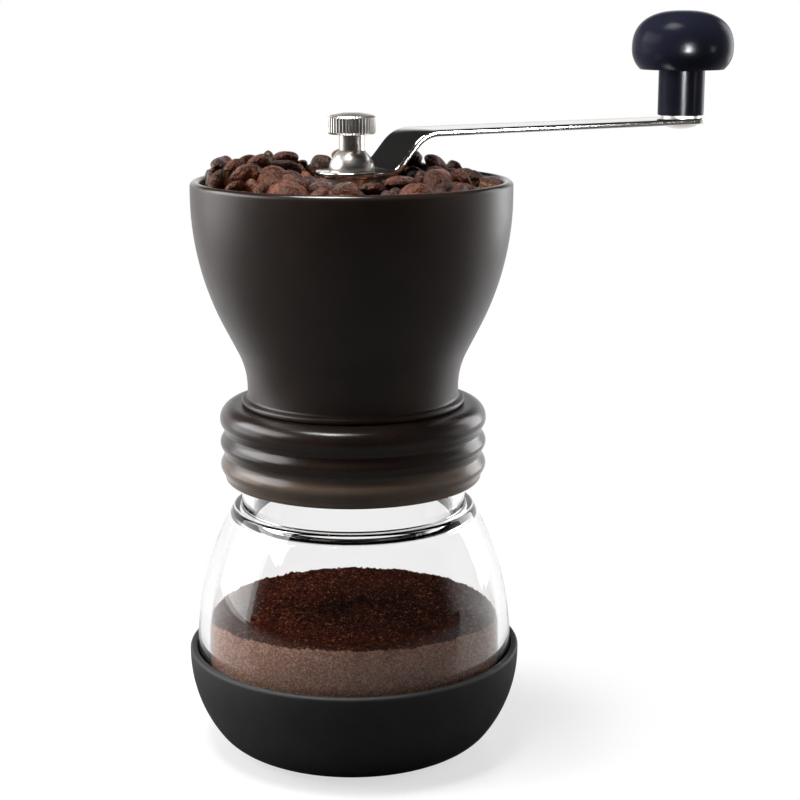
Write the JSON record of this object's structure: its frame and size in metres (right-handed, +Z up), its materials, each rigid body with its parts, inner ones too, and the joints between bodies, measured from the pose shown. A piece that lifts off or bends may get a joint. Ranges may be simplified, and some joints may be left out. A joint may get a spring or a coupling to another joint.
{
  "type": "hand crank coffee grinder",
  "caption": "Hand coffee mill with an open hopper, ceramic burrs, a crank with a mushroom knob, and a glass jar that screws on below and stands in a rubber foot.",
  "frame": {"origin": "centre of the flat underside of the rubber foot, on the axis of the shaft", "axes": "+Z up along the shaft; the crank points along +X at rest; +Y completes the frame"},
  "size_m": [0.1739, 0.092, 0.201],
  "materials": {
    "rubber": "matt charcoal rubber",
    "glass": "clear pressed glass",
    "shell": "satin dark brown-black plastic",
    "seal": "pale silicone",
    "crank_steel": "polished strap with a fine grain",
    "steel": "satin stainless steel",
    "ceramic": "off-white fired ceramic",
    "black_plastic": "moulded black plastic",
    "knob_plastic": "glossy navy-black plastic"
  },
  "bodies": {
    "foot": {"rubber_base": "rubber"},
    "jar": {"glass_jar": "glass"},
    "seal": {"seal_ring": "seal"},
    "head": {"collar": "shell", "collar_screws": "steel", "hopper": "shell", "upper_bushing": "black_plastic", "lower_bushing": "black_plastic", "outer_burr": "ceramic", "burr_retainer": "black_plastic", "retainer_screws": "steel"},
    "thrust": {"thrust_washer": "steel"},
    "drive": {"lock_plate": "steel", "drive_shaft": "steel", "crank_arm": "crank_steel", "top_nut": "steel", "spring": "steel", "spring_washer": "steel", "inner_burr": "ceramic", "burr_carrier": "black_plastic", "burr_lock_washer": "steel", "burr_nut": "steel", "knob_pin": "steel", "knob_washer": "steel"},
    "adjuster": {"adjuster_nut": "black_plastic"},
    "knob": {"crank_knob": "knob_plastic"}
  },
  "joints": [
    {"name": "jar_lift", "type": "slide", "parent": "foot", "child": "jar", "axis": [0, 0, 1], "range_m": [0, 0.03]},
    {"name": "head_rise", "type": "slide", "parent": "jar", "child": "seal", "axis": [0, 0, 1], "range_m": [0, 0.0201]},
    {"name": "head_turn", "type": "hinge", "parent": "seal", "child": "head", "pos_m": [0, 0, 0.0895], "axis": [0, 0, 1], "range_deg": [0, 1440]},
    {"name": "crank_turn", "type": "hinge", "parent": "head", "child": "thrust", "pos_m": [0, 0, 0.147], "axis": [0, 0, -1], "continuous": true},
    {"name": "grind_gap", "type": "slide", "parent": "thrust", "child": "drive", "axis": [0, 0, 1], "range_m": [0, 0.0018], "deforming": ["spring"]},
    {"name": "adjuster_turn", "type": "hinge", "parent": "thrust", "child": "adjuster", "pos_m": [0, 0, 0.148], "axis": [0, 0, -1], "range_deg": [0, 650]},
    {"name": "knob_spin", "type": "hinge", "parent": "drive", "child": "knob", "pos_m": [0.113, 0, 0.171], "axis": [0, 0, 1], "continuous": true}
  ],
  "couplings": [
    {"joint": "head_rise", "follows": "head_turn", "m_per_rad": 0.00079577},
    {"joint": "adjuster_turn", "follows": "grind_gap", "rad_per_m": 6283.2}
  ]
}
